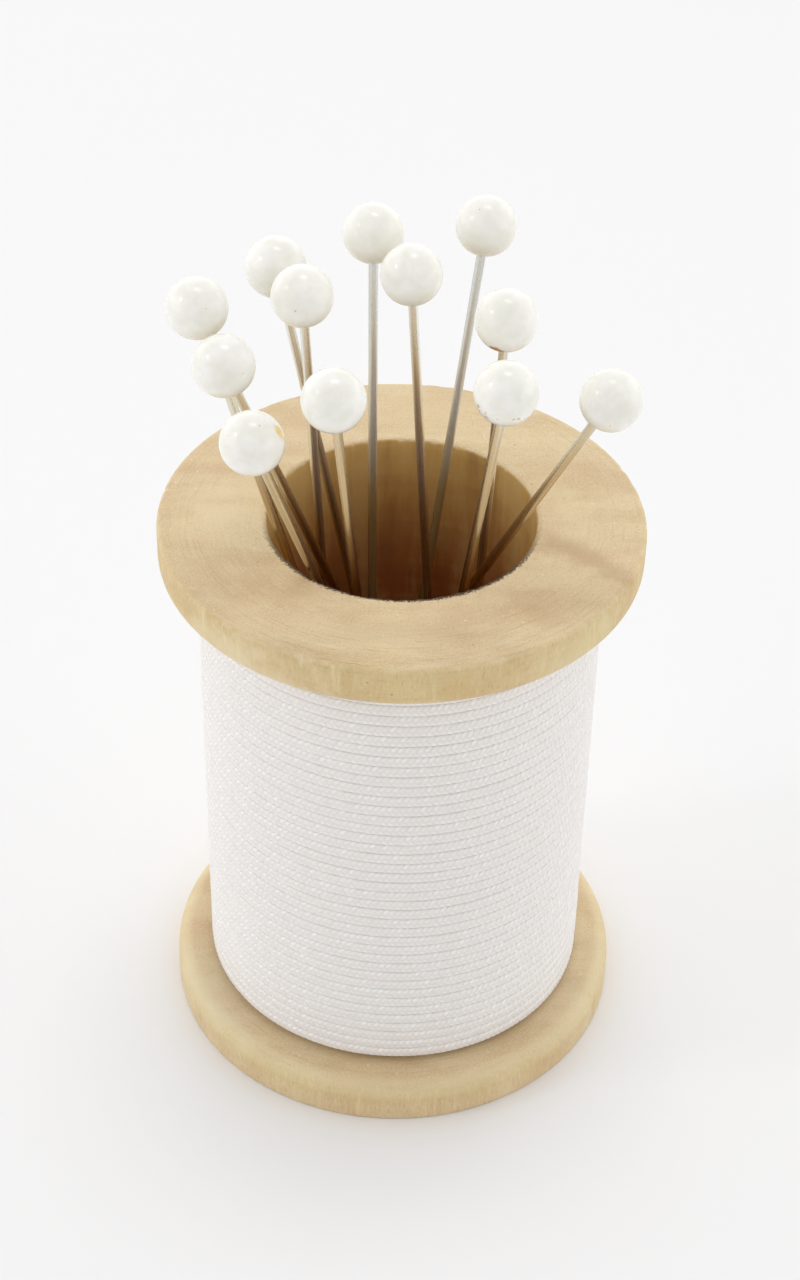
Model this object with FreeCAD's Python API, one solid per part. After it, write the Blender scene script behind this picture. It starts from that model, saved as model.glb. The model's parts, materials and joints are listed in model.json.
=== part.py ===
import FreeCAD, Part
import math
import os

os.makedirs("parts", exist_ok=True)

# Wooden spool, turned in one piece, standing on its bottom flange
spool_height = 40.6
flange_diameter = 31.75
flange_thickness = 3.175
rim_round = 1.2             # round-over on the thread side of each flange
edge_break = 0.15           # light break on the sharp wooden edges
well_diameter = 17.5
well_depth = 27.5
barrel_wall = 2.05          # wood between the well and the thread
spindle_hole_diameter = 6.35

# Thread, wound on the barrel
thread_diameter = 0.85
under_layers_build = 1.78   # the layers below the outer one, as one plain sleeve
outer_turns = 24
top_end_bearing = 240.0     # where the top turn starts, in degrees from +X towards +Y
layer_clearance = 0.02      # outer layer to the sleeve below it
end_clearance = 0.15        # first and last turn to the flanges

# Bead-headed pins, standing point down in the well
shaft_diameter = 0.6
pin_length = 45.6           # point to the middle of the head
point_length = 3.5
point_diameter = 0.1
head_diameter = 3.85
socket_depth = 2.6          # blind hole in the head that holds the shaft
glue_gap = 0.02             # around the shaft in its socket
socket_end_gap = 0.1
point_clearance = 0.1       # point to the floor of the well

# How each pin stands: the place where its shaft passes the mouth of the well, then the
# place of its point on the floor. A place is a share of the free radius, and a bearing
# in degrees from +X towards +Y.
pin_stands = [
    (0.96, 197.0, 0.42, 276.5),
    (0.76, 193.5, 0.77, 70.5),
    (0.98, 228.0, 0.67, 81.0),
    (0.75, 142.0, 0.86, 91.5),
    (0.68, 164.5, 0.96, 123.0),
    (0.75, 242.0, 0.42, 108.0),
    (0.74, 109.0, 0.96, 103.5),
    (0.42, 68.5, 0.96, 69.0),
    (0.89, 67.0, 0.96, 90.0),
    (0.65, 3.5, 0.96, 54.5),
    (0.79, 310.0, 0.42, 63.0),
    (0.84, 340.0, 0.86, 134.0),
]

# Values worked out from the sizes above
flange_radius = flange_diameter / 2
well_radius = well_diameter / 2
spindle_hole_radius = spindle_hole_diameter / 2
barrel_radius = well_radius + barrel_wall
sleeve_radius = barrel_radius + under_layers_build
turn_radius = sleeve_radius + layer_clearance + thread_diameter / 2
well_floor = spool_height - well_depth
thread_bottom = flange_thickness
thread_top = spool_height - flange_thickness
shaft_radius = shaft_diameter / 2
head_radius = head_diameter / 2
free_radius = well_radius - shaft_radius

Z_AXIS = FreeCAD.Vector(0, 0, 1)
ORIGIN = FreeCAD.Vector(0, 0, 0)


def save(shape, node):
    """Write one piece, after a look at its solids."""
    print(node, "solids", len(shape.Solids), "valid", shape.isValid(), "volume", round(shape.Volume, 3))
    shape.exportStep("parts/" + node + ".step")


def turned(profile):
    """Solid of revolution about Z from (radius, height) points, each line or (mid, end) arc."""
    edges = []
    here = profile[0]
    for step in profile[1:]:
        start = FreeCAD.Vector(here[0], 0, here[1])
        if isinstance(step[0], tuple):
            mid, end = step
            middle = FreeCAD.Vector(mid[0], 0, mid[1])
            finish = FreeCAD.Vector(end[0], 0, end[1])
            edges.append(Part.Arc(start, middle, finish).toShape())
        else:
            end = step
            edges.append(Part.LineSegment(start, FreeCAD.Vector(end[0], 0, end[1])).toShape())
        here = end
    face = Part.Face(Part.Wire(edges))
    return face.revolve(ORIGIN, Z_AXIS, 360)


def round_corner(centre_radius, centre_height, size, start_angle, end_angle):
    """Arc of a corner in the (radius, height) plane, as its middle and its end point."""
    middle_angle = (start_angle + end_angle) / 2
    points = []
    for angle in (middle_angle, end_angle):
        across = centre_radius + size * math.cos(math.radians(angle))
        up = centre_height + size * math.sin(math.radians(angle))
        points.append((across, up))
    return tuple(points)


def wooden_spool():
    """Two flanges, barrel, well from the top and spindle hole through its floor."""
    round_centre = flange_radius - rim_round
    lower_round = thread_bottom - rim_round
    upper_round = thread_top + rim_round
    outline = [
        (spindle_hole_radius, 0),
        (flange_radius - edge_break, 0),
        (flange_radius, edge_break),
        (flange_radius, lower_round),
        round_corner(round_centre, lower_round, rim_round, 0, 90),
        (barrel_radius, thread_bottom),
        (barrel_radius, thread_top),
        (round_centre, thread_top),
        round_corner(round_centre, upper_round, rim_round, -90, 0),
        (flange_radius, spool_height - edge_break),
        (flange_radius - edge_break, spool_height),
        (well_radius + edge_break, spool_height),
        (well_radius, spool_height - edge_break),
        (well_radius, well_floor),
        (spindle_hole_radius, well_floor),
        (spindle_hole_radius, 0),
    ]
    return turned(outline)


def thread_sleeve():
    """The under-layers: a plain sleeve that fills the barrel from flange to flange."""
    outline = [
        (barrel_radius, thread_bottom),
        (sleeve_radius, thread_bottom),
        (sleeve_radius, thread_top),
        (barrel_radius, thread_top),
        (barrel_radius, thread_bottom),
    ]
    return turned(outline)


# Outer layer of thread: one unbroken tube on a helix that falls as its bearing grows
top_end_height = thread_top - end_clearance - thread_diameter / 2
low_end_height = thread_bottom + end_clearance + thread_diameter / 2
turn_pitch = (top_end_height - low_end_height) / outer_turns
slope_length = math.hypot(2 * math.pi * turn_radius, turn_pitch)


def on_helix(turns):
    """Point and unit tangent of the helix so many turns below its top end."""
    angle = math.radians(top_end_bearing) + 2 * math.pi * turns
    height = top_end_height - turn_pitch * turns
    point = FreeCAD.Vector(turn_radius * math.cos(angle), turn_radius * math.sin(angle), height)
    run = 2 * math.pi * turn_radius / slope_length
    fall = turn_pitch / slope_length
    return point, FreeCAD.Vector(-run * math.sin(angle), run * math.cos(angle), -fall)


def arc_between(start, corner, end):
    """Arc from start to end whose end tangents meet at the corner, as far from both."""
    chord_middle = (start + end) * 0.5
    half_chord = (start - chord_middle).Length
    height = (corner - chord_middle).Length
    radius = half_chord * (corner - start).Length / height
    bulge = radius - math.sqrt(radius ** 2 - half_chord ** 2)
    middle = chord_middle + (corner - chord_middle) * (bulge / height)
    return Part.Arc(start, middle, end).toShape()


def biarc(start, start_tangent, end, end_tangent):
    """Two arcs that leave start and reach end along the given tangents."""
    chord = end - start
    tangents = start_tangent + end_tangent
    turn = 2 * (1 - start_tangent.dot(end_tangent))
    along = chord.dot(tangents)
    reach = (-along + math.sqrt(along ** 2 + turn * chord.dot(chord))) / turn
    first_corner = start + start_tangent * reach
    second_corner = end - end_tangent * reach
    joint = (first_corner + second_corner) * 0.5
    return [arc_between(start, first_corner, joint), arc_between(joint, second_corner, end)]


def least_gap(wire, steps_per_turn):
    """Least gap of the tube to its own other turns, measured on points of its middle line."""
    points = wire.discretize(Number=steps_per_turn * outer_turns)
    apart = steps_per_turn // 2
    least = None
    for i in range(len(points)):
        for j in range(i + apart, min(i + 3 * apart, len(points))):
            gap = (points[i] - points[j]).Length - thread_diameter
            least = gap if least is None else min(least, gap)
    return least


def outer_layer():
    """The outer layer's turns, each half a biarc, with a straight run at both ends."""
    half_turns = 2 * outer_turns
    start, start_tangent = on_helix(0)
    tail_start = start - start_tangent * thread_diameter
    edges = [Part.LineSegment(tail_start, start).toShape()]
    for half in range(half_turns):
        here, here_tangent = on_helix(half / 2)
        there, there_tangent = on_helix((half + 1) / 2)
        edges.extend(biarc(here, here_tangent, there, there_tangent))
    end, end_tangent = on_helix(half_turns / 2)
    edges.append(Part.LineSegment(end, end + end_tangent * thread_diameter).toShape())
    route = Part.Wire(edges)
    section = Part.Wire([Part.makeCircle(thread_diameter / 2, tail_start, start_tangent)])
    tube = route.makePipeShell([section], True, False)
    expected = math.pi * thread_diameter ** 2 / 4 * route.Length
    print("thread_outer_layer volume over section times length", round(tube.Volume / expected, 5))
    print("thread_outer_layer least gap to itself", round(least_gap(route, 36), 3), "mm")
    return tube


def pin_line(stand):
    """Point and direction of a pin from its stand."""
    mouth_share, mouth_bearing, floor_share, floor_bearing = stand
    places = []
    for share, bearing in ((mouth_share, mouth_bearing), (floor_share, floor_bearing)):
        across = share * free_radius * math.cos(math.radians(bearing))
        along = share * free_radius * math.sin(math.radians(bearing))
        places.append((across, along))
    point = FreeCAD.Vector(places[1][0], places[1][1], well_floor + point_clearance)
    mouth = FreeCAD.Vector(places[0][0], places[0][1], spool_height)
    direction = (mouth - point).normalize()
    return point, direction


def pin_shaft():
    """Ground steel wire with a tapered point, its point at the origin and up +Z."""
    top = pin_length - head_radius + socket_depth - socket_end_gap
    outline = [
        (0, 0),
        (point_diameter / 2, 0),
        (shaft_radius, point_length),
        (shaft_radius, top),
        (0, top),
        (0, 0),
    ]
    return turned(outline)


def pin_head():
    """Stone bead with a blind socket for the shaft, on the pin's own line."""
    bead = Part.makeSphere(head_radius, FreeCAD.Vector(0, 0, pin_length))
    bottom = pin_length - head_radius
    socket = Part.makeCylinder(shaft_radius + glue_gap, 2 * socket_depth, FreeCAD.Vector(0, 0, bottom - socket_depth))
    return bead.cut(socket)


def stand_up(shape, point, direction):
    """Carry a pin's piece from its own line to its place in the well."""
    turn = FreeCAD.Rotation(Z_AXIS, direction)
    placed = shape.copy()
    placed.Placement = FreeCAD.Placement(point, turn)
    return placed


save(wooden_spool(), "spool_body")
save(thread_sleeve(), "thread_under_layers")
save(outer_layer(), "thread_outer_layer")

for number, stand in enumerate(pin_stands, start=1):
    point, direction = pin_line(stand)
    lean = math.degrees(math.acos(direction.z))
    pull_out = (well_depth - point_clearance) / direction.z
    print("pin", number, "leans", round(lean, 1), "degrees, pulls out", round(pull_out, 2), "mm")
    save(stand_up(pin_shaft(), point, direction), "pin_%02d_shaft" % number)
    save(stand_up(pin_head(), point, direction), "pin_%02d_head" % number)
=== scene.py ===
import json
import math
import random

import bpy
from mathutils import Matrix, Vector, noise


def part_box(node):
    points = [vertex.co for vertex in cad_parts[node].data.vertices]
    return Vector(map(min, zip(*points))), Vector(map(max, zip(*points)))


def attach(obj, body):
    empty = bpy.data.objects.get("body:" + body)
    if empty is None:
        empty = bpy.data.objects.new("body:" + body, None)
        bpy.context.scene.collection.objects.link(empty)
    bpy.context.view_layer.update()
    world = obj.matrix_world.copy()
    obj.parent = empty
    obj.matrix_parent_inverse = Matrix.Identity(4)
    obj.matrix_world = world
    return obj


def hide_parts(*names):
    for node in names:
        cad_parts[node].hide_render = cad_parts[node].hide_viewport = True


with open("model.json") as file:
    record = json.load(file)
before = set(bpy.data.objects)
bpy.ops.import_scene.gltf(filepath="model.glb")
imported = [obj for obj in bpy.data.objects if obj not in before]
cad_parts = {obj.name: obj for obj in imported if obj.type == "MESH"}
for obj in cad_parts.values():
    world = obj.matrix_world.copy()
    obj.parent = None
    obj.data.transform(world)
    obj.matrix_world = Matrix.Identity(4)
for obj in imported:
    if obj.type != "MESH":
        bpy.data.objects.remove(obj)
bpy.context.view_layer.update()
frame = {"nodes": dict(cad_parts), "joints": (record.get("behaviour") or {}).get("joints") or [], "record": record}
mm = 0.001


def points_of(node):
    return [vertex.co for vertex in frame["nodes"][node].data.vertices]


def least_radius(points):
    return min(math.hypot(point.x, point.y) for point in points)


# Wooden spool, sizes read from the frame
spool_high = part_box("spool_body")[1]
spool_height = spool_high.z
flange_radius = spool_high.x
well_radius = least_radius(point for point in points_of("spool_body") if point.z > spool_height / 2)
spindle_mount = next(m for m in frame["record"]["mounts"] if m["kind"] == "bore")
spindle_hole_radius = spindle_mount["dims"]["r_mm"] * mm
well_floor = spindle_mount["dims"]["length_mm"] * mm
rim_round = 1.2 * mm            # as in the solids, like the edge break
edge_break = 0.15 * mm
rim_edge_soft = 0.32 * mm       # the top edge of the rim, worn rounder than it was cut

# Thread, sizes read from the frame
sleeve_low, sleeve_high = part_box("thread_under_layers")
sleeve_radius = sleeve_high.x
thread_bottom = sleeve_low.z
thread_top = sleeve_high.z
thread_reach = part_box("thread_outer_layer")[1].x
barrel_radius = least_radius(points_of("thread_under_layers"))
thread_turns = 39.6             # both ends then lie where the photograph has them, front left and behind
turns_per_piece = 10
thread_pieces = 4
thread_width = 0.856 * mm
thread_depth = 0.8 * mm
thread_pitch = (thread_top - thread_bottom - thread_width) / thread_turns
periods_per_turn = 196.4        # strands of the braid in one row of a turn
rings_per_strand = 4
strand_relief = 0.055 * mm
section_squareness = 0.5        # 1 is an ellipse, less is flatter-sided
strand_lean = 0.45              # half the lean of a strand across its row, in periods
top_end_bearing = math.radians(240)
end_tuck_turns = 0.03
end_tuck_depth = 0.7 * mm
height_wander = 0.10 * mm
radius_wander = 0.09 * mm
wander_room = 0.03 * mm         # how much further in the turns lie, so that none wanders past the frame's
under_layer_turns = 3.0         # of the layer below, at each flange, where it shows past the thread's ends

# Pins with a look of their own, by number
stained_pin = 3
glued_pin = 10
ringed_pin = 11
pale_pins = (7, 9)
# These pins have yellower tarnish, and a darker painted reflection of the brown well that reaches higher up the
# shaft
tarnished_shaded_pins = (1, 2, 3, 6, 11, 12)

# Small forms of every pin, whose main sizes are read from the frame
point_length = 3.5 * mm
point_radius = 0.03 * mm
shaft_rings = 60
shaft_sides = 28
out_of_round = 0.006            # of the bead, as a share of its radius
dimple_depth = 0.15 * mm
collar_width = 0.13 * mm

# Camera as solved from the circles in the photograph; it looks along +Y and down
camera_lens = 69.98             # millimetres
camera_place = (0.00004, -0.13068, 0.135156)
camera_fall = 38.751            # degrees below level
camera_roll = 1.2164            # degrees


class Net:
    """Adds nodes to a tree and joins them, for finishes, effect groups and shape trees alike."""

    def __init__(self, tree):
        self.tree = tree

    def feed(self, socket, value):
        if isinstance(value, bpy.types.NodeSocket):
            self.tree.links.new(value, socket)
        else:
            socket.default_value = value

    def feed_all(self, node, values):
        for key, value in values.items():
            self.feed(node.inputs[key], value)

    def node(self, kind, values=None, **settings):
        """New node with its settings and with values for its inputs, by name or by number."""
        made = self.tree.nodes.new(kind)
        for key, value in settings.items():
            setattr(made, key, value)
        self.feed_all(made, values or {})
        return made

    def math(self, operation, *values):
        return self.node("ShaderNodeMath", dict(enumerate(values)), operation=operation).outputs[0]

    def times(self, first, second):
        return self.math("MULTIPLY", first, second)

    def times_plus(self, first, second, added):
        """first * second + added"""
        return self.math("MULTIPLY_ADD", first, second, added)

    def minus(self, first, second):
        return self.math("SUBTRACT", first, second)

    def vector(self, operation, *values):
        made = self.node("ShaderNodeVectorMath", dict(enumerate(values)), operation=operation)
        single = operation in ("LENGTH", "DISTANCE", "DOT_PRODUCT")
        return made.outputs["Value" if single else "Vector"]

    def scaled(self, vector, factor):
        made = self.node("ShaderNodeVectorMath", {"Vector": vector, "Scale": factor}, operation="SCALE")
        return made.outputs["Vector"]

    def split(self, vector):
        return self.node("ShaderNodeSeparateXYZ", {"Vector": vector}).outputs

    def joined(self, x, y, z):
        return self.node("ShaderNodeCombineXYZ", {"X": x, "Y": y, "Z": z}).outputs["Vector"]

    def blend(self, share, first, second, mode="MIX"):
        """Mix of two colours, whose sockets on the node are inputs 6 and 7 and output 2."""
        values = {0: share, 6: first, 7: second}
        return self.node("ShaderNodeMix", values, data_type="RGBA", blend_type=mode).outputs[2]

    def tinted(self, body, *layers):
        """The body colour under layers of tint, each with its mask, its tint and any strength below 1."""
        for mask, tint, *strength in layers:
            share = self.times(mask, strength[0]) if strength else mask
            body = self.blend(share, body, colour(*tint))
        return body

    def ramp(self, value, low, high, to_low=0.0, to_high=1.0):
        """Smooth step of a value from low to high; low may be the greater one."""
        sizes = {"Value": value, "From Min": low, "From Max": high, "To Min": to_low, "To Max": to_high}
        return self.node("ShaderNodeMapRange", sizes, interpolation_type="SMOOTHSTEP").outputs["Result"]

    def cell(self, value):
        """Number of the whole step that a value is in, and its place in that step from -1 to 1."""
        number = self.math("FLOOR", value)
        return number, self.times_plus(self.minus(value, number), 2.0, -1.0)

    def shifted(self, place, seed):
        return self.vector("ADD", place, self.joined(seed, seed, seed))

    def noise(self, vector, scale, detail=2.0, roughness=0.5):
        sizes = {"Vector": vector, "Scale": scale, "Detail": detail, "Roughness": roughness}
        return self.node("ShaderNodeTexNoise", sizes).outputs[0]

    def noise_along(self, value, scale, detail=2.0, roughness=0.5):
        sizes = {"W": value, "Scale": scale, "Detail": detail, "Roughness": roughness}
        return self.node("ShaderNodeTexNoise", noise_dimensions="1D", values=sizes).outputs[0]


def colour(red, green, blue):
    """Linear colour from screen values of 0 to 255."""
    return tuple((part / 255) ** 2.2 for part in (red, green, blue)) + (1.0,)


NUMBER = "NodeSocketFloat"
WHOLE = "NodeSocketInt"
PLACE = "NodeSocketVector"
FINISH = "NodeSocketMaterial"
EFFECT = ("ShaderNodeTree", NUMBER)
SHAPE = ("GeometryNodeTree", "NodeSocketGeometry")


def group_tree(name, kind, inputs):
    """New node group with inputs by kind and one result: its net, its inputs and the socket of its result."""
    tree_kind, result_kind = kind
    tree = bpy.data.node_groups.new(name, tree_kind)
    for socket_kind, labels in inputs.items():
        for label in labels:
            tree.interface.new_socket(label, in_out="INPUT", socket_type=socket_kind)
    tree.interface.new_socket("Result", in_out="OUTPUT", socket_type=result_kind)
    net = Net(tree)
    return net, net.node("NodeGroupInput").outputs, net.node("NodeGroupOutput").inputs[0]


# Effects that several finishes use

def uneven_tone_group():
    """Soft patches from 0 to 1, for tone that wanders over a surface."""
    inputs = {PLACE: ["Place"], NUMBER: ["Patch Size", "Detail", "Contrast", "Seed"]}
    net, given, out = group_tree("uneven_tone", EFFECT, inputs)
    moved = net.shifted(given["Place"], given["Seed"])
    patches = net.noise(moved, net.math("DIVIDE", 1.0, given["Patch Size"]), given["Detail"])
    tone = net.times_plus(net.minus(patches, 0.5), given["Contrast"], 0.5)
    net.feed(out, net.node("ShaderNodeClamp", {"Value": tone}).outputs[0])
    return net.tree


def fine_specks_group():
    """Mask of small scattered specks, one at most in each cell."""
    inputs = {PLACE: ["Place"], NUMBER: ["Cell Size", "Speck Size", "Share", "Seed"]}
    net, given, out = group_tree("fine_specks", EFFECT, inputs)
    moved = net.shifted(given["Place"], given["Seed"])
    scale = net.math("DIVIDE", 1.0, given["Cell Size"])
    cells = net.node("ShaderNodeTexVoronoi", {"Vector": moved, "Scale": scale})
    lot = net.split(cells.outputs["Color"])
    size = net.times(given["Speck Size"], net.ramp(lot[1], 0.0, 1.0, 0.35, 1.0))
    inside = net.minus(1.0, net.math("DIVIDE", cells.outputs["Distance"], size))
    chosen = net.math("LESS_THAN", lot[0], given["Share"])
    net.feed(out, net.times(net.ramp(inside, 0.0, 0.5), chosen))
    return net.tree


def ragged_mark_group():
    """Mask of one oblong mark with a frayed edge, 1 in the core of it."""
    inputs = {PLACE: ["Place", "Centre", "Size"], NUMBER: ["Bearing", "Fray", "Grain", "Core"]}
    net, given, out = group_tree("ragged_mark", EFFECT, inputs)
    turn = net.joined(0.0, 0.0, given["Bearing"])
    values = {"Vector": given["Place"], "Location": given["Centre"], "Rotation": turn, "Scale": given["Size"]}
    spot = net.node("ShaderNodeMapping", values, vector_type="TEXTURE").outputs[0]
    rough = net.minus(net.noise(given["Place"], given["Grain"], 3.0), 0.5)
    reach = net.times_plus(rough, given["Fray"], net.vector("LENGTH", spot))
    net.feed(out, net.ramp(reach, 1.0, given["Core"]))
    return net.tree


uneven_tone = uneven_tone_group()
fine_specks = fine_specks_group()
ragged_mark = ragged_mark_group()


def new_finish(name):
    """Empty material: its net, the surface shader and the place on the piece in millimetres."""
    material = bpy.data.materials.new(name)
    material.use_nodes = True
    net = Net(material.node_tree)
    shader = material.node_tree.nodes["Principled BSDF"]
    place = net.node("ShaderNodeTexCoord").outputs["Object"]
    return material, net, shader, net.scaled(place, 1 / mm)


def tone_of(net, place, size, detail, contrast, seed):
    """Soft patches of a size in millimetres."""
    values = {"Place": place, "Patch Size": size, "Detail": detail, "Contrast": contrast, "Seed": seed}
    return net.node("ShaderNodeGroup", node_tree=uneven_tone, values=values).outputs[0]


def specks_of(net, place, cell, size, share, seed):
    """Specks of a size in this share of the cells, both sizes in millimetres."""
    values = {"Place": place, "Cell Size": cell, "Speck Size": size, "Share": share, "Seed": seed}
    return net.node("ShaderNodeGroup", node_tree=fine_specks, values=values).outputs[0]


def mark_of(net, place, centre, size, bearing, fray, grain, core):
    values = {"Place": place, "Centre": centre, "Size": size, "Bearing": math.radians(bearing),
              "Fray": fray, "Grain": grain, "Core": core}
    return net.node("ShaderNodeGroup", node_tree=ragged_mark, values=values).outputs[0]


def raised(net, shader, height, distance, strength):
    """Feeds a bump to the shader, whose height of 1 stands for the distance in metres."""
    values = {"Height": height, "Distance": distance, "Strength": strength}
    net.feed(shader.inputs["Normal"], net.node("ShaderNodeBump", values).outputs["Normal"])


# Finishes

# Marks of the wood's figure on both flanges, and one patch of painted light on the well's left wall, in
# millimetres: centre, size, bearing, tint and strength
wood_marks = [
    ((11.4, -4.2, 40.6), (6.4, 1.9, 4.0), -36.0, (178, 145, 104), 0.55),
    ((8.4, -9.4, 40.6), (4.8, 2.0, 4.0), -42.0, (186, 152, 110), 0.35),
    ((-6.2, -8.6, 40.6), (5.5, 2.2, 4.0), -14.0, (190, 155, 114), 0.35),
    ((1.0, -12.4, 40.6), (7.0, 2.6, 4.0), 4.0, (206, 182, 148), 0.3),
    ((10.8, 1.6, 40.6), (2.4, 4.4, 4.0), 8.0, (234, 213, 172), 0.4),
    ((-11.8, 0.4, 40.6), (3.2, 5.0, 4.0), -6.0, (230, 213, 172), 0.5),
    ((1.0, 12.6, 40.6), (10.0, 2.8, 4.0), 0.0, (212, 183, 138), 0.35),
    ((-10.2, -12.4, 38.4), (13.0, 3.4, 3.2), -39.0, (238, 226, 190), 0.5),
    ((11.6, -11.0, 38.4), (9.0, 3.0, 3.2), 44.0, (230, 216, 172), 0.4),
    ((4.2, -15.2, 38.4), (3.0, 2.0, 2.6), 15.0, (200, 168, 112), 0.35),
    # Painted light: a paler patch on the upper left wall of the well, which the lamps leave in shade
    ((-8.6, 2.6, 37.6), (3.0, 6.0, 5.5), 0.0, (222, 186, 124), 0.4),
    ((-13.2, -6.4, 2.4), (9.0, 3.2, 4.0), -60.0, (226, 214, 180), 0.45),
    ((13.4, -6.0, 2.4), (9.0, 3.0, 4.0), 62.0, (226, 212, 176), 0.25),
]


def turned_hardwood():
    """Bare pale hardwood: soft figure, pores, hairlines left by the tool, and painted shade in the well."""
    material, net, shader, place = new_finish("turned_hardwood")
    x, y, z = net.split(place)
    flat = net.joined(x, y, 0.0)
    radius = net.vector("LENGTH", flat)
    top = spool_height / mm
    rim = flange_radius / mm
    well = well_radius / mm

    # Broad bands of figure run across the plank that the spool was turned from
    warp = net.scaled(net.joined(tone_of(net, place, 5.0, 2.0, 1.0, 5.0), 0.0, 0.0), 0.8)
    across_plank = net.vector("ADD", net.vector("MULTIPLY", place, (0.10, 0.36, 0.05)), warp)
    figure = net.ramp(net.noise(across_plank, 1.0, 3.0, 0.55), 0.36, 0.62)
    yellow_patches = tone_of(net, place, 4.5, 2.0, 2.4, 3.0)
    warm_patches = tone_of(net, place, 6.0, 2.0, 2.4, 23.0)
    small_patches = tone_of(net, place, 1.4, 3.0, 2.0, 11.0)
    body = net.blend(figure, colour(204, 176, 135), colour(221, 200, 161))
    body = net.tinted(
        body,
        (yellow_patches, (223, 204, 158), 0.45),
        (warm_patches, (214, 181, 143), 0.45),
        (small_patches, (231, 214, 180), 0.25),
    )

    # Hairlines left by the turning tool, which come and go round the faces and the well
    tool_travel = net.times(net.math("ADD", radius, z), 7.5)
    around = net.scaled(net.vector("NORMALIZE", flat), 3.8)
    tool_path = net.vector("ADD", around, net.joined(0.0, 0.0, tool_travel))
    hairlines = net.noise(tool_path, 1.0, 2.0, 0.6)
    come_and_go = tone_of(net, place, 5.0, 1.0, 3.0, 31.0)
    rougher = net.times_plus(come_and_go, 0.5, net.ramp(y, -4.0, -12.0, 0.05, 0.6))
    rougher = net.times(rougher, net.ramp(radius, rim - 0.4, rim - 0.1, 1.0, 0.35))
    rougher = net.times(rougher, net.ramp(z, 4.0, 8.0, 0.5, 1.0))
    marked = net.times(net.ramp(radius, well, rim - 1.5, 0.35, 1.0), rougher)
    dark_lines = net.times(net.ramp(hairlines, 0.44, 0.32), marked)
    pale_lines = net.times(net.ramp(hairlines, 0.56, 0.68), marked)
    body = net.tinted(body, (dark_lines, (182, 150, 110), 0.5), (pale_lines, (238, 222, 190), 0.28))

    # Fibres run along Z, so they are dots on the faces and short streaks on the rims
    stretched = net.vector("MULTIPLY", place, (1.0, 1.0, 0.3))
    speckle = net.noise(stretched, 6.5, 3.0, 0.75)
    pores = specks_of(net, stretched, 0.34, 0.3, 0.35, 2.0)
    pale_flecks = specks_of(net, stretched, 0.7, 0.2, 0.3, 8.0)
    pinpricks = specks_of(net, place, 1.5, 0.07, 0.4, 17.0)
    body = net.tinted(
        body,
        (net.ramp(speckle, 0.46, 0.28, 0.0, 0.6), (186, 155, 112)),
        (net.ramp(speckle, 0.54, 0.72, 0.0, 0.5), (240, 225, 192)),
        (pores, (180, 147, 104), 0.2),
        (pale_flecks, (243, 232, 204), 0.35),
        (pinpricks, (140, 104, 68), 0.55),
    )

    # The rims are yellower and more mottled than the faces and the lower flange's shoulder paler; the rim's top
    # edge gets a paler ragged line, partly wear and partly a painted highlight where the rounded edge catches the
    # light
    on_rim = net.ramp(radius, rim - 0.35, rim - 0.05)
    yellowed = net.times(on_rim, net.ramp(z, 0.8, 2.4, 0.15, 0.75))
    body = net.blend(yellowed, body, colour(248, 246, 226), "MULTIPLY")
    on_shoulder = net.times(net.ramp(radius, rim - 1.3, rim - 0.5), net.ramp(z, 1.6, 2.4))
    on_shoulder = net.times(on_shoulder, net.ramp(z, 8.0, 4.0, 0.0, 0.4))
    body = net.tinted(body, (on_shoulder, (230, 216, 172)))
    golden = net.times(on_rim, tone_of(net, stretched, 1.8, 3.0, 3.2, 41.0))
    body = net.tinted(body, (golden, (206, 172, 112), 0.22))
    upright = net.noise(net.vector("MULTIPLY", place, (1.0, 1.0, 0.12)), 2.6, 3.0, 0.6)
    streaked = net.times(golden, net.ramp(upright, 0.5, 0.7, 0.0, 0.55))
    body = net.tinted(body, (streaked, (232, 216, 172)))
    # Painted highlight and wear: a paler ragged line along the rim's top edge
    to_top_edge = net.vector("DISTANCE", net.joined(radius, z, 0.0), (rim, top, 0.0))
    worn_and_highlit_edge = net.times_plus(small_patches, 0.4, to_top_edge)
    body = net.tinted(body, (net.ramp(worn_and_highlit_edge, 0.5, 0.2, 0.0, 0.3), (240, 228, 196)))
    for centre, size, bearing, tint, strength in wood_marks:
        mark = mark_of(net, place, centre, size, bearing, 1.6, 0.7, 0.0)
        body = net.tinted(body, (mark, tint, strength))

    # Painted shade: the well is painted darker and browner the deeper it goes, over rings of the boring tool and
    # streaks down it, which are the wood's own tone
    in_well = net.ramp(radius, well + 0.12, well + 0.02)
    depth = net.minus(top, z)
    rings = net.noise_along(z, 0.9, 2.0, 0.6)
    run_down = net.vector("ADD", around, net.joined(0.0, 0.0, net.times(z, 0.06)))
    streaks = net.noise(run_down, 1.0, 4.0, 0.6)
    shade = net.times_plus(rings, 0.18, net.times(streaks, 1.4))
    # Painted shade of the well: darker and browner with depth
    brown = net.blend(net.ramp(depth, 0.5, 13.0), colour(208, 166, 95), colour(176, 96, 29))
    brown = net.tinted(
        brown,
        (net.ramp(shade, 0.72, 1.0, 0.0, 0.5), (222, 190, 126)),
        (net.ramp(shade, 0.80, 0.5, 0.0, 0.4), (124, 74, 32)),
    )
    body = net.blend(net.times(in_well, 0.88), body, brown)

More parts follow.
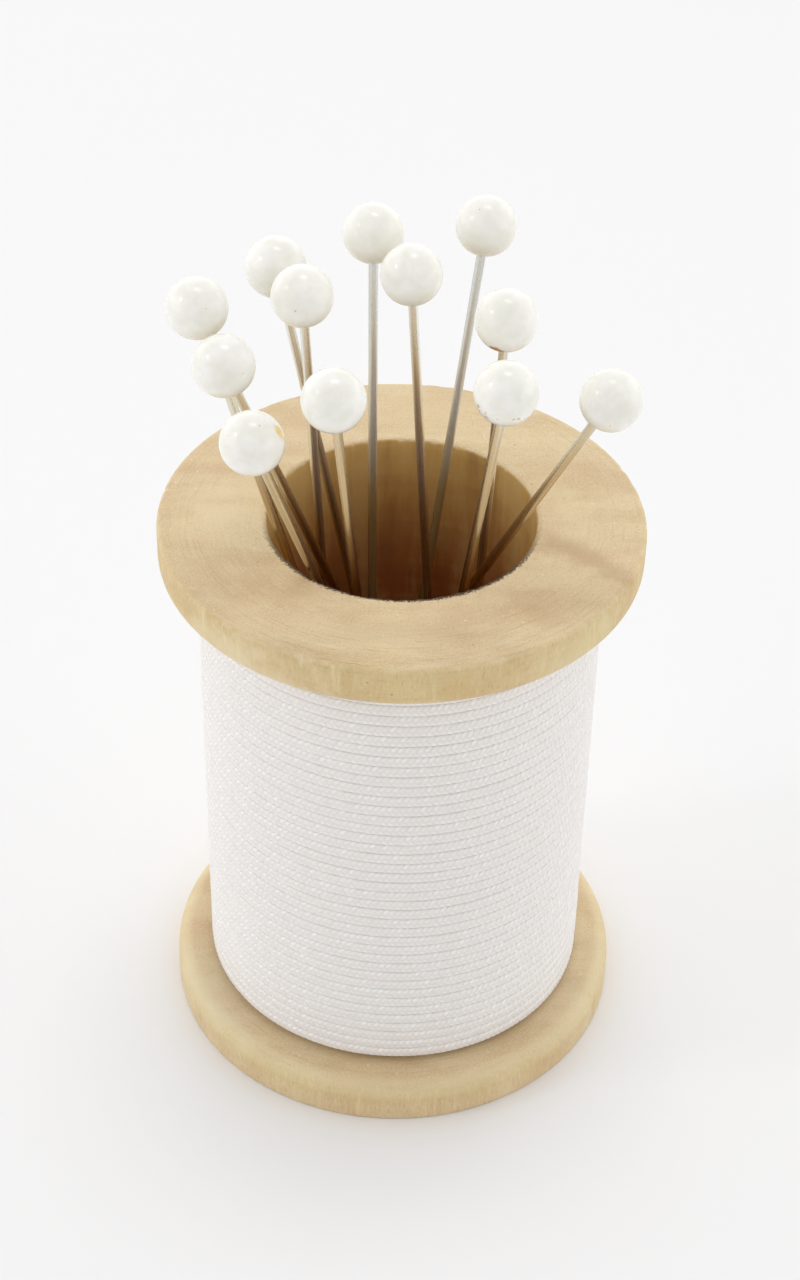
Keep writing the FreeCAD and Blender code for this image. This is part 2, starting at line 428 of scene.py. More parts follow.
    # Dark ragged band at the mouth of the well, further across the face than down the wall and strongest towards
    # the front (-Y): partly dirt in the cut fibres, partly painted shade along the edge
    flatness = 2.2
    by_mouth = net.joined(radius, net.times(z, flatness), 0.0)
    to_mouth = net.vector("DISTANCE", by_mouth, (well, top * flatness, 0.0))
    ragged_mouth = net.times_plus(speckle, 0.8, to_mouth)
    dirt_and_shade = net.times(net.ramp(ragged_mouth, 0.84, 0.64), net.ramp(y, 0.0, -6.0, 0.08, 1.0))
    body = net.tinted(body, (dirt_and_shade, (72, 50, 32)))
    rough = net.times_plus(small_patches, 0.12, 0.56)
    net.feed_all(shader, {"Base Color": body, "Roughness": rough, "Specular IOR Level": 0.35})

    height = net.times(net.times(hairlines, marked), 0.8)
    height = net.times_plus(speckle, 0.7, height)
    height = net.minus(height, net.times(pores, 0.5))
    raised(net, shader, height, 0.03 * mm, 0.8)
    return material


def braided_thread():
    """Near-white braid: rows of leaning strands, some glossier than others, with painted glints on the glossier
    crests and painted shade in the grooves.
    """
    material, net, shader, place = new_finish("braided_thread")
    along = net.node("ShaderNodeAttribute", attribute_name="along_thread").outputs["Vector"]
    periods, row_place, turn = net.split(along)
    row, in_row = net.cell(row_place)
    phase = net.times_plus(row, 0.5, periods)
    strand_number, in_strand = net.cell(phase)
    off_middle = net.times_plus(in_row, in_row, net.times(in_strand, in_strand))
    lens = net.minus(1.0, off_middle)

    strand = net.joined(strand_number, row, 0.0)
    lot = net.node("ShaderNodeTexWhiteNoise", {"Vector": strand}).outputs["Value"]
    # Painted glints: the crests of the glossier strands are painted near-white, as well as being less rough
    gloss_and_painted_glint = net.times(net.ramp(lens, 0.3, 0.85), net.ramp(lot, 0.45, 1.0))
    filament_place = net.joined(net.times(periods, 2.0), net.times(row_place, 9.0), 0.0)
    filaments = net.noise(filament_place, 1.0, 3.0, 0.6)
    wander = tone_of(net, place, 6.0, 2.0, 1.5, 4.0)
    turn_tone = net.noise_along(turn, 2.3, 1.0)

    # Painted shade: greyer towards the edges of each strand and down into the grooves, whiter on its crest
    body = net.blend(net.ramp(lens, -0.2, 0.6), colour(233, 228, 223), colour(247, 243, 240))
    body = net.tinted(
        body,
        (net.ramp(filaments, 0.35, 0.7), (236, 231, 228), 0.3),
        (wander, (240, 234, 229), 0.3),
        (turn_tone, (238, 234, 233), 0.2),
        (gloss_and_painted_glint, (255, 254, 252)),
    )
    rough = net.times_plus(gloss_and_painted_glint, -0.12, net.times_plus(filaments, 0.2, 0.4))
    net.feed_all(shader, {
        "Base Color": body, "Roughness": rough, "Sheen Weight": 0.25, "Sheen Roughness": 0.5,
        "Subsurface Weight": 0.5, "Subsurface Radius": (1.0, 0.98, 0.95), "Subsurface Scale": 0.4 * mm,
    })
    relief = net.times_plus(net.ramp(lens, -0.5, 0.9), 0.8, net.times(filaments, 0.5))
    raised(net, shader, relief, 0.03 * mm, 0.8)
    return material


def drawn_steel(name, bright, worn, brown, brown_from, metallic):
    """Drawn wire: bright, with draw lines that also stand in for painted dark reflections along it, mottled below
    its head, and low down a painted reflection of the brown well, darker and browner, which fades in from the
    given height in millimetres above the spool."""
    material, net, shader, place = new_finish(name)
    from_head = net.node("ShaderNodeAttribute", attribute_name="from_head").outputs["Fac"]
    round_wire = net.node("ShaderNodeAttribute", attribute_name="round_wire").outputs["Vector"]
    near_head = net.ramp(from_head, 10.0, 0.0, 0.12, 0.7)
    lengthwise = net.vector("MULTIPLY", round_wire, (1.6, 1.6, 0.12))
    # Dark lines along the wire: partly draw marks, partly painted dark reflections
    draw_lines_and_dark_reflections = net.ramp(net.noise(lengthwise, 1.0, 3.0, 0.65), 0.42, 0.6)
    blotches = tone_of(net, round_wire, 0.7, 3.0, 2.4, 1.0)
    tarnish = net.times(net.times(blotches, near_head), 0.6)
    spots = net.times(specks_of(net, place, 0.5, 0.2, 0.3, 6.0), near_head)
    # Painted reflection of the brown well: the shaft is darker and browner from this height down
    well_reflection_share = net.ramp(net.split(place)[2], spool_height / mm + brown_from, spool_height / mm - 4.0)
    body = net.blend(tarnish, bright, worn)
    body = net.tinted(body, (draw_lines_and_dark_reflections, (150, 138, 112), 0.34), (spots, (116, 106, 92), 0.3))
    body = net.blend(well_reflection_share, body, brown, "MULTIPLY")
    rough = net.times_plus(spots, 0.1, net.times_plus(tarnish, 0.3, 0.21))
    net.feed_all(shader, {"Base Color": body, "Metallic": metallic, "Roughness": rough})
    raised(net, shader, tarnish, 0.008 * mm, 0.6)
    return material


def polished_stone(name, stain_place=None, stain_size=None, stain_tint=None,
                   ring_place=None, ring_axis=None, ring_drop=0.0):
    """Polished white stone with clouding and tiny specks, plain, stained or with a ring of rust specks."""
    material, net, shader, place = new_finish(name)
    clouds = tone_of(net, place, 1.8, 4.0, 2.4, 7.0)
    veins = tone_of(net, place, 0.7, 4.0, 2.6, 21.0)
    specks = specks_of(net, place, 0.6, 0.14, 0.3, 9.0)
    body = net.blend(clouds, colour(243, 242, 232), colour(254, 253, 250))
    body = net.tinted(body, (veins, (229, 228, 214), 0.4), (specks, (166, 150, 122), 0.5))
    # Painted shade and reflected wood colour: the bead's lower half, towards its shaft, is yellower and darker
    toward_shaft = net.node("ShaderNodeAttribute", attribute_name="toward_shaft").outputs["Fac"]
    body = net.tinted(body, (net.ramp(toward_shaft, 0.0, 1.0, 0.0, 0.4), (226, 218, 184)))
    if stain_place is not None:
        stain = mark_of(net, place, stain_place, stain_size, 0.0, 1.2, 1.6, 0.5)
        body = net.blend(net.times(stain, 0.85), body, stain_tint)
    if ring_place is not None:
        from_centre = net.vector("SUBTRACT", place, ring_place)
        drop = net.vector("DOT_PRODUCT", from_centre, ring_axis)
        in_ring = net.ramp(net.math("ABSOLUTE", net.minus(drop, ring_drop)), 0.4, 0.15)
        rust = specks_of(net, place, 0.3, 0.65, 0.7, 13.0)
        rust = net.times(net.times(rust, in_ring), 0.9)
        body = net.tinted(body, (rust, (200, 158, 92)))
    net.feed_all(shader, {
        "Base Color": body, "Roughness": net.times_plus(veins, 0.1, 0.12), "Subsurface Weight": 0.12,
        "Subsurface Radius": (1.0, 0.95, 0.8), "Subsurface Scale": 0.6 * mm,
    })
    raised(net, shader, specks, -0.01 * mm, 0.5)
    return material


def dried_glue(name, tint):
    """Bead of glue where a shaft enters its head."""
    material, net, shader, place = new_finish(name)
    body = net.blend(tone_of(net, place, 0.3, 2.0, 2.0, 2.0), tint, colour(214, 196, 160))
    net.feed_all(shader, {"Base Color": body, "Roughness": 0.25})
    return material


def white_floor():
    """Matt white table that the spool stands on."""
    material, net, shader, place = new_finish("white_floor")
    tone = tone_of(net, place, 60.0, 1.0, 0.5, 0.0)
    body = net.blend(tone, colour(244, 244, 245), colour(246, 246, 247))
    net.feed_all(shader, {"Base Color": body, "Roughness": 0.8, "Specular IOR Level": 0.2})
    return material


# Shapes that come from a tree of shape nodes

def finish_tree(net, out, form, material, second=None, second_mark=None):
    """Ends a shape tree: real geometry, smooth but for its end caps, with a second finish where marked."""
    real = net.node("GeometryNodeRealizeInstances", {"Geometry": form}).outputs[0]
    corners = net.node("GeometryNodeInputMeshFaceNeighbors").outputs["Vertex Count"]
    no_cap = net.math("LESS_THAN", corners, 5.0)
    form = net.node("GeometryNodeSetShadeSmooth", {"Geometry": real, "Shade Smooth": no_cap}).outputs[0]
    form = net.node("GeometryNodeSetMaterial", {"Geometry": form, "Material": material}).outputs[0]
    if second is not None:
        mark = net.node("GeometryNodeInputNamedAttribute", {"Name": second_mark}, data_type="FLOAT")
        chosen = net.math("GREATER_THAN", mark.outputs["Attribute"], 0.5)
        values = {"Geometry": form, "Selection": chosen, "Material": second}
        form = net.node("GeometryNodeSetMaterial", values).outputs[0]
    net.feed(out, form)


def keep_value(net, form, name, value, kind="FLOAT"):
    """Stores a value on the points of a form, for its finish."""
    values = {"Geometry": form, "Name": name, "Value": value}
    kept = net.node("GeometryNodeStoreNamedAttribute", values, data_type=kind, domain="POINT")
    return kept.outputs[0]


def reshaped(net, form, target):
    """The form with its points moved to their targets."""
    return net.node("GeometryNodeSetPosition", {"Geometry": form, "Position": target}).outputs[0]


def straight_tube(net, rings, sides):
    """Closed tube of radius 1 and length 1 along +X, for a tree to bend."""
    line = net.node("GeometryNodeCurvePrimitiveLine", {"Start": (0.0, 0.0, 0.0), "End": (1.0, 0.0, 0.0)})
    points = net.node("GeometryNodeResampleCurve", {"Curve": line.outputs[0], "Count": rings})
    circle = net.node("GeometryNodeCurvePrimitiveCircle", {"Resolution": sides, "Radius": 1.0})
    values = {"Curve": points.outputs[0], "Profile Curve": circle.outputs["Curve"], "Fill Caps": True}
    return net.node("GeometryNodeCurveToMesh", values).outputs[0]


def wound_braid_tree():
    """A stretch of braid wound about +Z: rows of leaning strands round a tube on a helix."""
    inputs = {
        NUMBER: ["First Turn", "Turns", "Total Turns", "Top Height", "Pitch", "Turn Radius", "Start Bearing",
                 "Hand", "Width", "Depth", "Periods", "Relief", "Squareness", "Lean", "Height Wander",
                 "Radius Wander", "Tuck Turns", "Tuck Depth", "Seed"],
        WHOLE: ["Rings", "Sides"], FINISH: ["Finish"],
    }
    net, given, out = group_tree("wound_braid", SHAPE, inputs)
    tube = straight_tube(net, given["Rings"], given["Sides"])
    here = net.node("GeometryNodeInputPosition").outputs[0]
    share, across, up = net.split(here)
    angle = net.math("ARCTAN2", up, across)

    # Four rows of strands go round the braid, and neighbouring rows lean opposite ways
    row_place = net.math("DIVIDE", angle, math.pi / 2)
    row, in_row = net.cell(row_place)
    odd = net.math("FLOORED_MODULO", row, 2.0)
    lean = net.times_plus(odd, -2.0, 1.0)
    shear = net.times(net.times(in_row, lean), given["Lean"])

    ring_turn = net.times_plus(share, given["Turns"], given["First Turn"])
    periods = net.times(ring_turn, given["Periods"])
    turn = net.math("ADD", ring_turn, net.math("DIVIDE", shear, given["Periods"]))
    phase = net.times_plus(row, 0.5, periods)
    in_strand = net.cell(phase)[1]
    over_strand = net.minus(1.0, net.times(in_strand, in_strand))
    to_row_end = net.minus(1.0, net.times(in_row, in_row))
    lump = net.times(over_strand, net.math("POWER", to_row_end, 0.7))
    lot = net.noise(net.joined(net.times(periods, 0.8), row, given["Seed"]), 1.0, 1.0)
    relief = net.times(given["Relief"], net.ramp(lot, 0.3, 0.7, 0.55, 1.45))
    sunk = net.times(net.minus(1.0, lump), relief)

    swing = net.times(net.times(turn, 2 * math.pi), given["Hand"])
    bearing = net.math("ADD", swing, given["Start Bearing"])
    cosine = net.math("COSINE", bearing)
    sine = net.math("SINE", bearing)
    rise = net.times_plus(turn, 0.45, given["Seed"])
    spot = net.joined(net.times(cosine, 1.4), net.times(sine, 1.4), rise)
    height_drift = net.minus(net.noise(spot, 1.0, 2.0), 0.5)
    radius_drift = net.minus(net.noise(net.vector("ADD", spot, (9.0, 4.0, 7.0)), 1.3, 2.0), 0.5)

    to_top = net.ramp(turn, given["Tuck Turns"], 0.0)
    last_start = net.minus(given["Total Turns"], given["Tuck Turns"])
    to_bottom = net.ramp(turn, last_start, given["Total Turns"])
    tuck = net.times(net.math("ADD", to_top, to_bottom), given["Tuck Depth"])
    path_radius = net.times_plus(radius_drift, given["Radius Wander"], given["Turn Radius"])
    path_radius = net.minus(path_radius, tuck)
    path_height = net.minus(given["Top Height"], net.times(turn, given["Pitch"]))
    path_height = net.times_plus(height_drift, given["Height Wander"], path_height)

    half_depth = net.minus(net.times(given["Depth"], 0.5), sunk)
    half_width = net.times_plus(sunk, -0.2, net.times(given["Width"], 0.5))
    squared = []
    for part in (across, up):
        size = net.math("POWER", net.math("ABSOLUTE", part), given["Squareness"])
        squared.append(net.times(size, net.math("SIGN", part)))
    reach = net.times_plus(squared[0], half_depth, path_radius)
    height = net.times_plus(squared[1], half_width, path_height)
    target = net.joined(net.times(reach, cosine), net.times(reach, sine), height)

    tube = keep_value(net, tube, "along_thread", net.joined(periods, row_place, turn), "FLOAT_VECTOR")
    wound = reshaped(net, tube, target)

    # Wound with the hand 1, the tube is mirrored and its faces point inwards
    inside_out = net.math("GREATER_THAN", given["Hand"], 0.0)
    wound = net.node("GeometryNodeFlipFaces", {"Mesh": wound, "Selection": inside_out}).outputs[0]
    finish_tree(net, out, wound, given["Finish"])
    return net.tree


def pin_shaft_tree():
    """Steel wire along +Z from its point, with a tapered point, and how far each ring is from the head."""
    inputs = {
        NUMBER: ["Length", "Radius", "Point Length", "Point Radius", "Head Start", "Seed"],
        WHOLE: ["Rings", "Sides"], FINISH: ["Finish"],
    }
    net, given, out = group_tree("pin_shaft", SHAPE, inputs)
    tube = straight_tube(net, given["Rings"], given["Sides"])
    share, across, up = net.split(net.node("GeometryNodeInputPosition").outputs[0])
    height = net.times(share, given["Length"])
    taper = net.math("DIVIDE", height, given["Point Length"])
    swell = net.minus(given["Radius"], given["Point Radius"])
    tapered = net.times_plus(net.math("MINIMUM", taper, 1.0), swell, given["Point Radius"])
    target = net.joined(net.times(across, tapered), net.times(up, tapered), height)
    below = net.times(net.minus(given["Head Start"], height), 1 / mm)
    tube = keep_value(net, tube, "from_head", below)
    round_wire = net.joined(across, up, net.times_plus(share, 7.0, given["Seed"]))
    tube = keep_value(net, tube, "round_wire", round_wire, "FLOAT_VECTOR")
    finish_tree(net, out, reshaped(net, tube, target), given["Finish"])
    return net.tree


def pin_head_tree():
    """Bead about the origin, a little out of round, dimpled where the shaft enters it from -Z, with its
    collar of glue."""
    inputs = {
        NUMBER: ["Radius", "Shaft Radius", "Out of Round", "Dimple", "Collar Width", "Seed"],
        FINISH: ["Finish", "Glue"],
    }
    net, given, out = group_tree("pin_head", SHAPE, inputs)
    ball = net.node("GeometryNodeMeshUVSphere", {"Segments": 56, "Rings": 40, "Radius": 1.0}).outputs[0]
    here = net.node("GeometryNodeInputPosition").outputs[0]
    # How far towards the shaft, for the painted shade on the bead's lower half
    ball = keep_value(net, ball, "toward_shaft", net.times(net.split(here)[2], -1.0))
    moved = net.shifted(here, given["Seed"])
    bulge = net.noise(moved, 1.1, 1.0)
    shrink = net.minus(1.0, net.times(bulge, given["Out of Round"]))
    size = net.times(shrink, given["Radius"])
    x, y, z = net.split(net.scaled(here, size))
    off_axis = net.vector("LENGTH", net.joined(x, y, 0.0))
    below = net.math("LESS_THAN", z, 0.0)
    mouth = net.times(given["Shaft Radius"], 1.9)
    dip = net.times(net.ramp(off_axis, mouth, 0.0), given["Dimple"])
    target = net.joined(x, y, net.times_plus(dip, below, z))
    bead = reshaped(net, ball, target)
    bead = keep_value(net, bead, "glued", 0.0)

    drop = net.node("GeometryNodeMeshUVSphere", {"Segments": 24, "Rings": 12, "Radius": 1.0}).outputs[0]
    girth = net.math("ADD", given["Shaft Radius"], given["Collar Width"])
    rough = net.times_plus(net.noise(moved, 2.5, 1.0), 0.5, 0.75)
    girth = net.times(girth, rough)
    a, b, c = net.split(here)
    collar_height = net.times(given["Shaft Radius"], 0.8)
    low = net.times(given["Radius"], -0.975)
    rounded = net.joined(net.times(a, girth), net.times(b, girth), net.times_plus(c, collar_height, low))
    collar = reshaped(net, drop, rounded)
    collar = keep_value(net, collar, "glued", 1.0)

    both = net.node("GeometryNodeJoinGeometry")
    net.feed(both.inputs[0], collar)
    net.feed(both.inputs[0], bead)
    finish_tree(net, out, both.outputs[0], given["Finish"], given["Glue"], "glued")
    return net.tree


def link(thing):
    bpy.context.scene.collection.objects.link(thing)
    return thing


def grown(name, tree, sizes, placing=None):
    """Plain mesh piece that a shape tree makes from the given sizes."""
    start = link(bpy.data.objects.new(name + "_start", bpy.data.meshes.new(name + "_start")))
    modifier = start.modifiers.new("form", "NODES")
    modifier.node_group = tree
    for item in tree.interface.items_tree:
        if item.item_type == "SOCKET" and item.in_out == "INPUT" and item.name in sizes:
            modifier[item.identifier] = sizes[item.name]
    evaluated = start.evaluated_get(bpy.context.evaluated_depsgraph_get())
    mesh = bpy.data.meshes.new_from_object(evaluated)
    start.modifiers.remove(modifier)
    bpy.data.objects.remove(start)
    if placing is not None:
        mesh.transform(placing)
    mesh.name = name
    return link(bpy.data.objects.new(name, mesh))


# Wooden spool

rim_segments = 720
core_segments = 96
sharp_edge = math.radians(50)   # edges that turn more than this stay sharp
rim_wear_reach = 1.5 * mm       # from the top edge of the rim, where the wear fades out
rim_wear_fade = 0.3 * mm
wave_depth = 0.03 * mm
nick_depth = 0.04 * mm
mouth_wear_reach = 1.2 * mm     # from the edge of the well
mouth_wear_fade = 0.16 * mm
tooth_depth = 0.22 * mm
sweep_depth = 0.07 * mm
facet_depth = 0.012 * mm        # of the flats on the rims


def evenly(start, end, count, bias=1.0):
    """Points from start up to, but without, end; a bias over 1 crowds them near the start."""
    points = []
    for step in range(count):
        share = (step / count) ** bias
        points.append(tuple(a + (b - a) * share for a, b in zip(start, end)))
    return points


def round_corner(centre, size, start_angle, end_angle, count):
    """Points of an arc up to, but without, its end, with its angles in degrees."""
    points = []
    for step in range(count):
        angle = math.radians(start_angle + (end_angle - start_angle) * step / count)
        points.append((centre[0] + size * math.cos(angle), centre[1] + size * math.sin(angle)))
    return points


def crowded_ends(start, end, count, bias):
    """Points from start up to, but without, end, crowded near both."""
    middle = tuple((a + b) / 2 for a, b in zip(start, end))
    first = evenly(start, middle, count // 2, bias)
    second = evenly(end, middle, count // 2, bias)
    second.reverse()
    return first + [middle] + second[:-1]


def spool_outline():
    """Closed (radius, height) outline of the spool, anticlockwise, with its edge breaks and rounds."""
    round_centre = flange_radius - rim_round
    break_radius = flange_radius - edge_break
    top_break = spool_height - edge_break
    soft_top = spool_height - rim_edge_soft
    soft_radius = flange_radius - rim_edge_soft
    lower_round = (round_centre, thread_bottom - rim_round)
    upper_round = (round_centre, thread_top + rim_round)
    mouth_break = (well_radius + edge_break, top_break)
    return [
        *evenly((spindle_hole_radius, 0), (break_radius, 0), 6),
        *round_corner((break_radius, edge_break), edge_break, -90, 0, 3),
        *evenly((flange_radius, edge_break), (flange_radius, lower_round[1]), 6),
        *round_corner(lower_round, rim_round, 0, 90, 9),
        *evenly((round_centre, thread_bottom), (barrel_radius, thread_bottom), 4),
        *evenly((barrel_radius, thread_bottom), (barrel_radius, thread_top), 2),
        *evenly((barrel_radius, thread_top), (round_centre, thread_top), 4),
        *round_corner(upper_round, rim_round, -90, 0, 9),
        *crowded_ends((flange_radius, upper_round[1]), (flange_radius, soft_top), 10, 1.6),
        *round_corner((soft_radius, soft_top), rim_edge_soft, 0, 90, 6),
        *crowded_ends((soft_radius, spool_height), (mouth_break[0], spool_height), 30, 1.5),
        *round_corner(mouth_break, edge_break, 90, 180, 4),
        *evenly((well_radius, top_break), (well_radius, well_floor), 16, 2.0),
        *evenly((well_radius, well_floor), (spindle_hole_radius, well_floor), 3),
        *evenly((spindle_hole_radius, well_floor), (spindle_hole_radius, 0), 2),
    ]


def chip_list(seed, count, least, most):
    """Chips round an edge: bearing, half width in millimetres and depth in metres."""
    draw = random.Random(seed)
    chips = []
    for _ in range(count):
        chips.append((draw.uniform(0, 2 * math.pi), draw.uniform(0.25, 0.8), draw.uniform(least, most)))
    return chips


def chip_depth(chips, bearing, radius):
    """Depth of the deepest chip at a bearing, 0 between chips."""
    depth = 0.0
    for centre, half_width, deepest in chips:
        off = (bearing - centre + math.pi) % (2 * math.pi) - math.pi
        off_mm = abs(off) * radius / mm
        if off_mm < half_width:
            depth = max(depth, deepest * (1 - (off_mm / half_width) ** 2))
    return depth


def ragged(radius, bearing, detail, seed):
    """Unevenness from about -1 to 1 round a circle, with so many waves to the millimetre."""
    spot = Vector((math.cos(bearing), math.sin(bearing), 0)) * (radius / mm * detail)
    return noise.noise(spot + Vector((seed, seed, seed)))


def worn_wood(point, bearing, rim_chips):
    """A point of the outline as the tool and years of use left it."""
    radius, height = point
    to_rim_edge = math.hypot(flange_radius - radius, spool_height - height)
    if to_rim_edge < rim_wear_reach:
        wave = wave_depth * (0.6 + ragged(flange_radius, bearing, 0.35, 3.0))
        nick = nick_depth * max(0.0, ragged(flange_radius, bearing, 1.6, 8.0))
        chip = chip_depth(rim_chips, bearing, flange_radius)
        pull = (wave + nick + chip) * math.exp(-to_rim_edge / rim_wear_fade)
        radius -= pull * 0.7
        height -= pull * 0.7
    to_mouth = math.hypot(radius - well_radius, spool_height - height)
    if to_mouth < mouth_wear_reach:
        teeth = tooth_depth * max(0.0, ragged(well_radius, bearing, 2.2, 5.0) + 0.1)
        sweep = sweep_depth * (0.5 + ragged(well_radius, bearing, 0.3, 12.0))
        pull = (teeth + sweep) * math.exp(-to_mouth / mouth_wear_fade)
        radius += pull * 0.8
        height -= pull * 0.5
    if radius > flange_radius - 0.05 * mm:
        facets = 0.5 + 0.5 * ragged(flange_radius + height * 0.3, bearing, 0.9, 20.0)
        radius -= facet_depth * facets
    return radius, height


def lathed(name, outline, segments, finish, wear=None):
    """Closed ring-shaped solid of revolution of a closed outline, smooth but for its sharp edges."""
    vertices = []
    faces = []
    for segment in range(segments):
        bearing = 2 * math.pi * segment / segments
        for point in outline:
            radius, height = wear(point, bearing) if wear else point
            vertices.append((radius * math.cos(bearing), radius * math.sin(bearing), height))
    count = len(outline)
    for segment in range(segments):
        here = segment * count
        there = (segment + 1) % segments * count
        for step in range(count):
            after = (step + 1) % count
            faces.append((here + step, there + step, there + after, here + after))
    mesh = bpy.data.meshes.new(name)
    mesh.from_pydata(vertices, [], faces)
    mesh.shade_smooth()
    mesh.set_sharp_from_angle(angle=sharp_edge)
    mesh.materials.append(finish)
    return link(bpy.data.objects.new(name, mesh))


def build_spool(finish):
    rim_chips = chip_list(seed=4, count=26, least=0.03 * mm, most=0.13 * mm)

    def wear(point, bearing):
        return worn_wood(point, bearing, rim_chips)

    spool = lathed("turned_spool", spool_outline(), rim_segments, finish, wear)
    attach(spool, "spool")
    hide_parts("spool_body")


# Thread

def wound(name, tree, sizes, first, last, node):
    """A stretch of thread from one count of turns below the top end to another."""
    sizes["First Turn"] = first
    sizes["Turns"] = last - first
    sizes["Rings"] = round((last - first) * periods_per_turn * rings_per_strand) + 1
    piece = grown(name, tree, sizes)
    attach(piece, "spool")
    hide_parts(node)


def build_thread(finish):
    tree = wound_braid_tree()
    sizes = {
        "Sides": 12, "Top Height": thread_top - thread_width / 2, "Pitch": thread_pitch,
        "Turn Radius": thread_reach - thread_depth / 2 - wander_room, "Start Bearing": top_end_bearing,
        "Hand": 1.0, "Width": thread_width * 0.99, "Depth": thread_depth, "Periods": periods_per_turn,
        "Relief": strand_relief, "Squareness": section_squareness, "Lean": strand_lean,
        "Height Wander": height_wander, "Radius Wander": radius_wander, "Total Turns": thread_turns,
        "Tuck Turns": end_tuck_turns, "Tuck Depth": end_tuck_depth, "Seed": 3.0, "Finish": finish,
    }
    for number in range(thread_pieces):
        last = thread_turns - turns_per_piece * (thread_pieces - 1 - number)
        first = max(0.0, last - turns_per_piece)
        wound("thread_turns_%d" % (number + 1), tree, sizes, first, last, "thread_outer_layer")

    # The layer below shows past the first and the last turn, and is wound the other way
    lower = {**sizes, "Turn Radius": sleeve_radius - thread_depth * 0.6, "Hand": -1.0, "Seed": 11.0,
             "Tuck Depth": 0.0}
    for end, first in (("upper", 0.0), ("lower", thread_turns - under_layer_turns)):
        name = "thread_%s_under_turns" % end
        wound(name, tree, lower, first, first + under_layer_turns, "thread_under_layers")

    # A plain core fills what lies deeper
    core_radius = sleeve_radius - thread_depth * 0.5
    outline = [(barrel_radius, thread_bottom), (core_radius, thread_bottom),
               (core_radius, thread_top), (barrel_radius, thread_top)]
    core = lathed("thread_core", outline, core_segments, finish)
    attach(core, "spool")
    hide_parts("thread_under_layers")


# Pins

class Pin:
    """One pin's line and sizes, read from its joint and its solids."""

    def __init__(self, number, joint):
        self.number = number
        self.body = joint["child"]
        self.upward = Vector(joint["axis"]).normalized()
        low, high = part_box(self.body + "_head")
        self.centre = (low + high) / 2
        self.head_radius = (high.z - low.z) / 2
        shaft = points_of(self.body + "_shaft")
        along = [place.dot(self.upward) for place in shaft]
        self.length = max(along) - min(along)
        self.point = self.centre + self.upward * (min(along) - self.centre.dot(self.upward))
        self.shaft_radius = max((place - self.point).cross(self.upward).length for place in shaft)
        self.turn = Vector((0, 0, 1)).rotation_difference(self.upward).to_matrix().to_4x4()

    def on_bead(self, *toward):
        """Place on the bead's surface, in millimetres."""
        return (self.centre + Vector(toward).normalized() * self.head_radius) / mm


def stone_of(pin, plain):
    """A bead's finish: plain, stained by rust or glue, or with a ring of rust specks."""
    if pin.number == stained_pin:
        return polished_stone("stained_stone", stain_place=pin.on_bead(0.84, -0.13, 0.52),
                              stain_size=(0.45, 0.45, 0.85), stain_tint=colour(240, 204, 112))
    if pin.number == glued_pin:
        return polished_stone("glue_stained_stone", stain_place=pin.on_bead(-0.32, -0.62, -0.72),
                              stain_size=(0.6, 0.6, 0.55), stain_tint=colour(184, 130, 70))
    if pin.number == ringed_pin:
        return polished_stone("ringed_stone", ring_place=pin.centre / mm, ring_axis=pin.upward,
                              ring_drop=-pin.head_radius * 0.16 / mm)
    return plain


def steel_shaft(pin, tree, finish):
    """A pin's shaft, made along +Z and stood up in its place."""
    sizes = {
        "Length": pin.length, "Radius": pin.shaft_radius, "Point Length": point_length,
        "Point Radius": point_radius, "Head Start": (pin.centre - pin.point).length - pin.head_radius,
        "Rings": shaft_rings, "Sides": shaft_sides, "Seed": pin.number * 2.3, "Finish": finish,
    }
    return grown("steel_shaft_%02d" % pin.number, tree, sizes, Matrix.Translation(pin.point) @ pin.turn)


def stone_head(pin, tree, finish, glue):
    """A pin's bead with its collar of glue, made about the origin and stood up in its place."""
    sizes = {
        "Radius": pin.head_radius, "Shaft Radius": pin.shaft_radius, "Out of Round": out_of_round,
        "Dimple": dimple_depth, "Collar Width": collar_width, "Seed": pin.number * 1.7,
        "Finish": finish, "Glue": glue,
    }
    return grown("stone_head_%02d" % pin.number, tree, sizes, Matrix.Translation(pin.centre) @ pin.turn)


def build_pins():
    shaft_tree = pin_shaft_tree()
    head_tree = pin_head_tree()
    # Tints of the painted reflection of the brown well on the lower shafts
    light_well_reflection = colour(214, 189, 136)
    dark_well_reflection = colour(190, 158, 102)
    steel = drawn_steel("drawn_steel", colour(248, 247, 240), colour(218, 210, 186),
                        light_well_reflection, brown_from=6.0, metallic=0.88)
    pale_steel = drawn_steel("pale_steel", colour(236, 240, 238), colour(202, 205, 200),
                             light_well_reflection, brown_from=6.0, metallic=0.55)
    aged_steel = drawn_steel("aged_steel", colour(244, 238, 220), colour(206, 190, 148),
                             dark_well_reflection, brown_from=10.0, metallic=0.95)
    plain_stone = polished_stone("polished_stone")
    pale_glue = dried_glue("pale_glue", colour(222, 214, 190))
    brown_glue = dried_glue("brown_glue", colour(150, 92, 40))
    pulls = [joint for joint in frame["joints"] if joint["name"].endswith("_pull")]
    for number, joint in enumerate(pulls, start=1):
        pin = Pin(number, joint)
        body = pin.body
        wire = pale_steel if number in pale_pins else aged_steel if number in tarnished_shaded_pins else steel
        stone = stone_of(pin, plain_stone)
        shaft = steel_shaft(pin, shaft_tree, wire)
        head = stone_head(pin, head_tree, stone, brown_glue if number == glued_pin else pale_glue)
        for piece, node, slot in ((shaft, "_shaft", "steel"), (head, "_head", "bead")):
            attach(piece, body)
            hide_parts(body + node)


# Room, light and camera

floor_drop = 0.02 * mm          # keeps the floor clear of the spool's base
floor_reach = 2.0               # metres


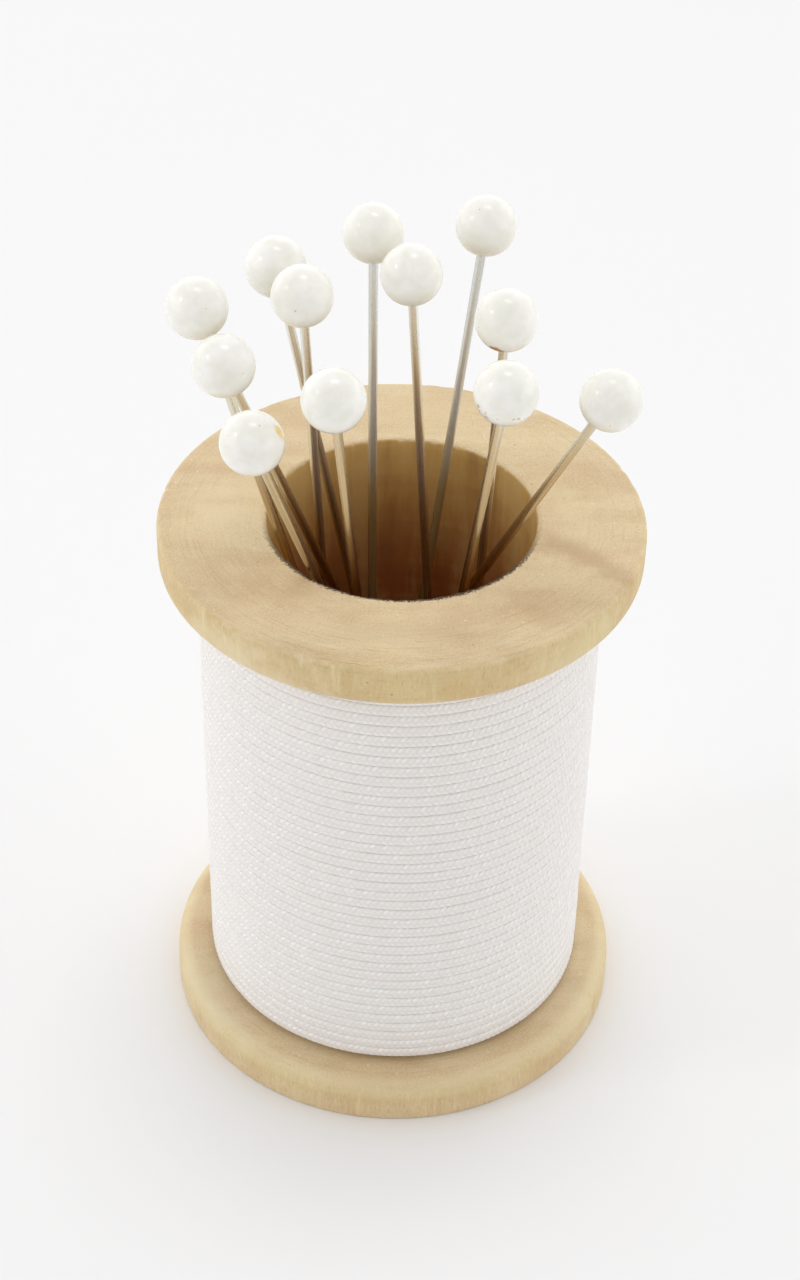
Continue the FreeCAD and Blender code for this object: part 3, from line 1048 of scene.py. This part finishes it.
def build_floor():
    reach = floor_reach
    mesh = bpy.data.meshes.new("floor")
    corners = [(-reach, -reach, 0), (reach, -reach, 0), (reach, reach, 0), (-reach, reach, 0)]
    mesh.from_pydata(corners, [], [(0, 1, 2, 3)])
    mesh.materials.append(white_floor())
    floor = link(bpy.data.objects.new("floor", mesh))
    floor.location.z = -floor_drop


def build_light():
    world = bpy.data.worlds.new("white_room")
    bpy.context.scene.world = world
    world.use_nodes = True
    net = Net(world.node_tree)
    sky = world.node_tree.nodes["Background"]
    way = net.split(net.node("ShaderNodeTexCoord").outputs["Generated"])

    # Brighter behind the spool than in front of it, and near the floor than overhead
    from_behind = net.ramp(way["Y"], -1.0, -0.1, 0.66, 1.47)
    low_sky = net.ramp(way["Z"], 0.0, 0.95, 1.17, 0.5)
    net.feed(sky.inputs["Strength"], net.times(from_behind, low_sky))
    sky.inputs["Color"].default_value = (1.0, 0.995, 0.99, 1.0)

    # Name, place, aim, size and power of each lamp
    lamps = [
        ("overhead_window", (0.03, 0.12, 0.62), (0.0, 0.0, 0.03), 0.22, 0.44),
        ("left_window", (-0.55, -0.1, 0.45), (0.0, 0.0, 0.03), 0.12, 0.26),
    ]
    for name, place, aim, size, power in lamps:
        lamp = bpy.data.lights.new(name, "AREA")
        lamp.shape = "RECTANGLE"
        lamp.size = size
        lamp.size_y = size * 0.7
        lamp.energy = power
        thing = link(bpy.data.objects.new(name, lamp))
        thing.location = place
        thing.rotation_euler = (Vector(aim) - Vector(place)).to_track_quat("-Z", "Y").to_euler()


def build_camera():
    camera = bpy.data.cameras.new("camera")
    camera.lens = camera_lens
    camera.clip_start = 0.01
    camera.clip_end = 20.0
    thing = link(bpy.data.objects.new("camera", camera))
    tilt = Matrix.Rotation(math.radians(90 - camera_fall), 4, "X")
    roll = Matrix.Rotation(math.radians(camera_roll), 4, "Z")
    thing.matrix_world = Matrix.Translation(camera_place) @ tilt @ roll
    bpy.context.scene.camera = thing


bpy.context.scene.view_settings.view_transform = "Standard"
build_camera()
build_floor()
build_light()
build_spool(turned_hardwood())
build_thread(braided_thread())
build_pins()
